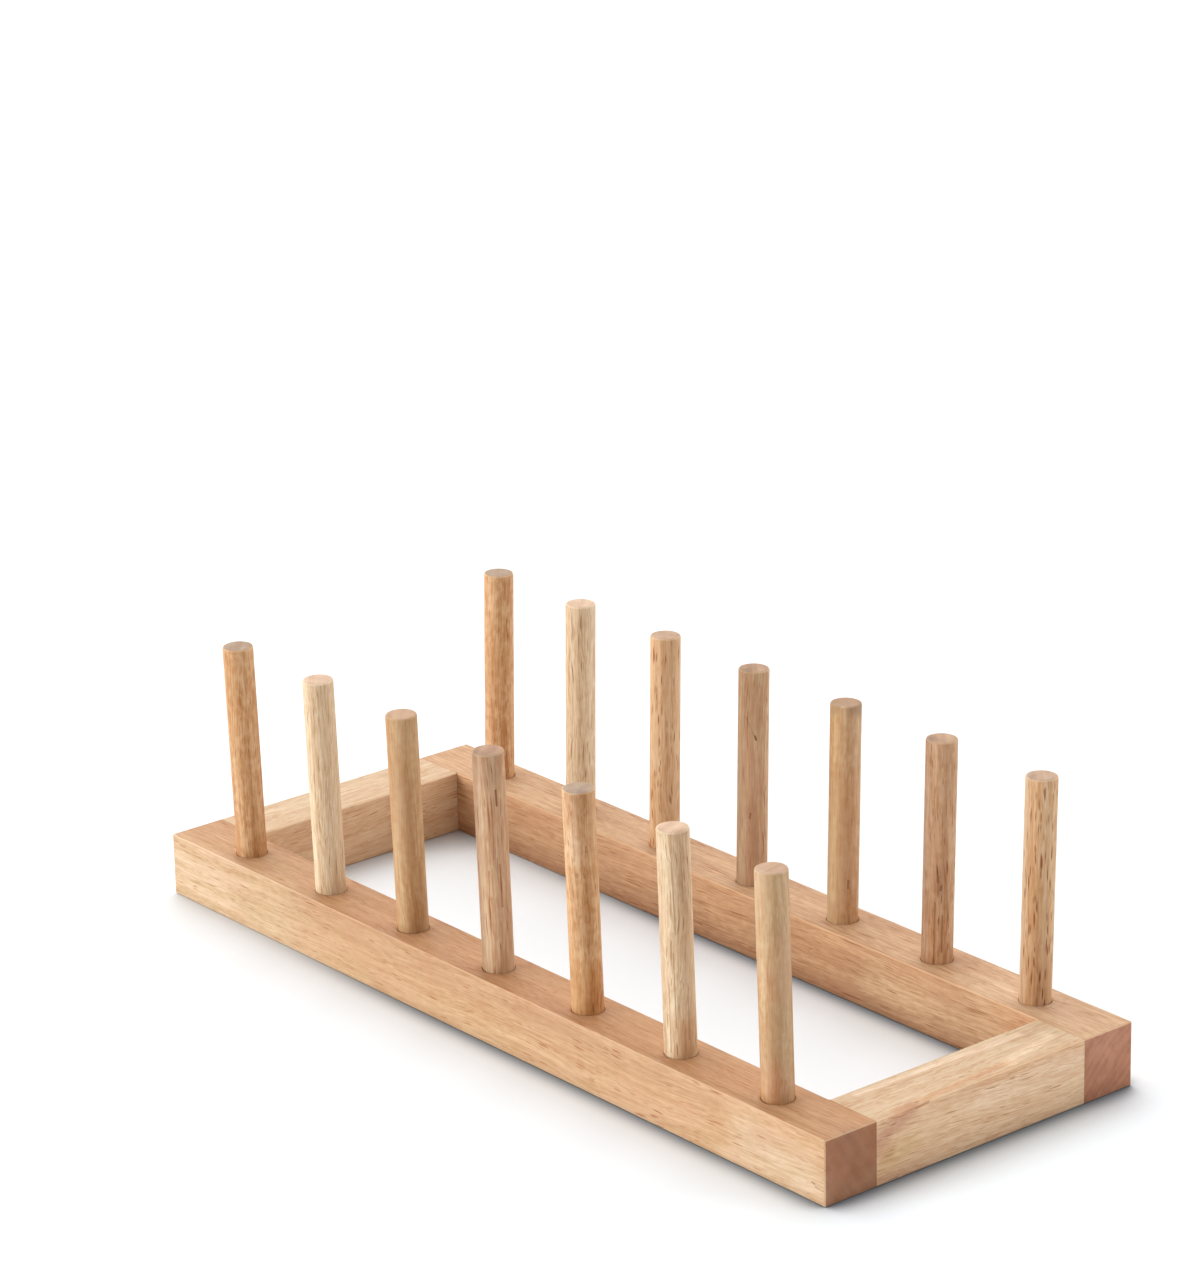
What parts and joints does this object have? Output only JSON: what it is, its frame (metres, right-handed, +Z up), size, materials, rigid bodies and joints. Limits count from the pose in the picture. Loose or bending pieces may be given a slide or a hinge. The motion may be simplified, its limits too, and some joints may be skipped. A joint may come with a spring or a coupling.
{
  "type": "plate rack",
  "caption": "Low wooden countertop rack: two long rails joined by a crossbar at each end, with a row of upright dowels in each rail that hold plates on edge.",
  "frame": {"origin": "middle of the rack's footprint, on the surface that it stands on", "axes": "+X along the rails to the right end, +Y from the front rail to the rear rail, +Z up"},
  "size_m": [0.32, 0.124, 0.0931],
  "materials": {
    "rail_wood": "sanded rubberwood with a thin matte oil, warm peach-tan with short dark pore dashes along the rail",
    "crossbar_wood": "sanded rubberwood with a thin matte oil, paler straw tone, grain along the crossbar",
    "pin_wood": "plain beech, unfinished, fluted for glue",
    "dowel_honey": "turned rubberwood rod, smooth honey tone",
    "dowel_cream": "turned rubberwood rod, very pale cream with fine streaks",
    "dowel_ochre": "turned rubberwood rod, golden ochre, mottled",
    "dowel_rosy": "turned rubberwood rod, pinkish brown with darker streaks",
    "dowel_tan": "turned rubberwood rod, tan with many dark dashes",
    "dowel_brown": "turned rubberwood rod, darker brown"
  },
  "bodies": {
    "root": {"front_rail": "rail_wood", "rear_rail": "rail_wood", "left_crossbar": "crossbar_wood", "right_crossbar": "crossbar_wood", "left_front_joint_pins": "pin_wood", "left_rear_joint_pins": "pin_wood", "right_front_joint_pins": "pin_wood", "right_rear_joint_pins": "pin_wood", "front_dowel_1": "dowel_honey", "front_dowel_2": "dowel_cream", "front_dowel_3": "dowel_ochre", "front_dowel_4": "dowel_rosy", "front_dowel_5": "dowel_honey", "front_dowel_6": "dowel_cream", "front_dowel_7": "dowel_ochre", "rear_dowel_1": "dowel_tan", "rear_dowel_2": "dowel_brown", "rear_dowel_3": "dowel_honey", "rear_dowel_4": "dowel_rosy", "rear_dowel_5": "dowel_tan", "rear_dowel_6": "dowel_cream", "rear_dowel_7": "dowel_ochre"}
  },
  "joints": []
}
